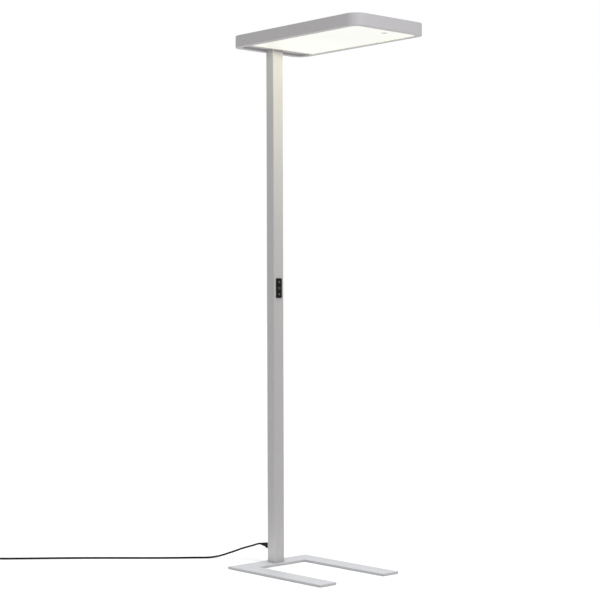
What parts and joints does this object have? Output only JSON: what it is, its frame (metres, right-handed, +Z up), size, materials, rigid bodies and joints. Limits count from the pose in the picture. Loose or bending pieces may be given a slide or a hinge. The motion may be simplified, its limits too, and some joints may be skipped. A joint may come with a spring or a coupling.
{
  "type": "office floor lamp",
  "caption": "Free-standing LED office floor lamp: flat U-shaped base, rectangular post with a button panel and a flat head lit below and above, with coiled mains lead.",
  "frame": {"origin": "floor point under the post's axis", "axes": "+X from the post towards the head's free end, +Y across the head, +Z up"},
  "size_m": [1.4661, 1.0852, 1.95],
  "materials": {
    "base_paint": "light silver-grey powder coat on steel plate, fine satin grain",
    "grey_paint": "silver-grey powder coat on aluminium, satin",
    "rubber": "black rubber",
    "zinc_steel": "zinc-plated steel",
    "black_plastic": "black moulded plastic, fine grain",
    "cord_sheath": "black flexible cable sheath",
    "strap": "black hook-and-loop tape",
    "pin_metal": "nickel-plated brass",
    "white_sheath": "white cable sheath",
    "panel_plastic": "black plastic, half gloss",
    "circuit_board": "green solder mask on glass-fibre board",
    "button_plastic": "dark grey plastic, satin",
    "opal_acrylic": "opal acrylic, lit from inside, satin",
    "clear_acrylic": "clear acrylic, polished",
    "white_plastic": "white plastic",
    "sensor_plastic": "pale grey plastic with a small dark lens",
    "bare_aluminium": "bare rolled aluminium",
    "led_board": "white solder mask on aluminium-core board, with small yellow emitters"
  },
  "bodies": {
    "lamp": {"base_plate": "base_paint", "foot_pads": "rubber", "base_screws": "zinc_steel", "post_tube": "grey_paint", "power_inlet": "black_plastic", "lead_connector": "black_plastic", "strain_relief": "black_plastic", "mains_cord": "cord_sheath", "cord_coil": "cord_sheath", "cord_tie": "strap", "mains_plug": "black_plastic", "plug_pins": "pin_metal", "riser_cable": "white_sheath", "control_cable": "cord_sheath", "control_bezel": "panel_plastic", "control_board": "circuit_board", "head_bracket": "zinc_steel", "bracket_bolts": "zinc_steel", "head_frame": "grey_paint", "divider_rail": "grey_paint", "diffuser": "opal_acrylic", "light_box": "white_plastic", "sensor_window": "sensor_plastic", "carrier_plate": "bare_aluminium", "carrier_screws": "zinc_steel", "shelf_screws": "zinc_steel", "down_led_strips": "led_board", "up_led_strips": "led_board", "led_driver": "white_plastic", "terminal_block": "white_plastic", "driver_link": "white_sheath", "led_lead": "white_sheath", "rear_cover": "grey_paint", "uplight_cover": "clear_acrylic", "top_cover": "grey_paint", "cover_screws": "zinc_steel"},
    "brighter": {"button_brighter": "button_plastic"},
    "power": {"button_power": "button_plastic"},
    "dimmer": {"button_dimmer": "button_plastic"}
  },
  "joints": [
    {"name": "press_brighter", "type": "slide", "parent": "lamp", "child": "brighter", "axis": [-1, 0, 0], "range_m": [0, 0.0008], "stiffness_N_per_m": 300},
    {"name": "press_power", "type": "slide", "parent": "lamp", "child": "power", "axis": [-1, 0, 0], "range_m": [0, 0.0008], "stiffness_N_per_m": 300},
    {"name": "press_dimmer", "type": "slide", "parent": "lamp", "child": "dimmer", "axis": [-1, 0, 0], "range_m": [0, 0.0008], "stiffness_N_per_m": 300}
  ]
}
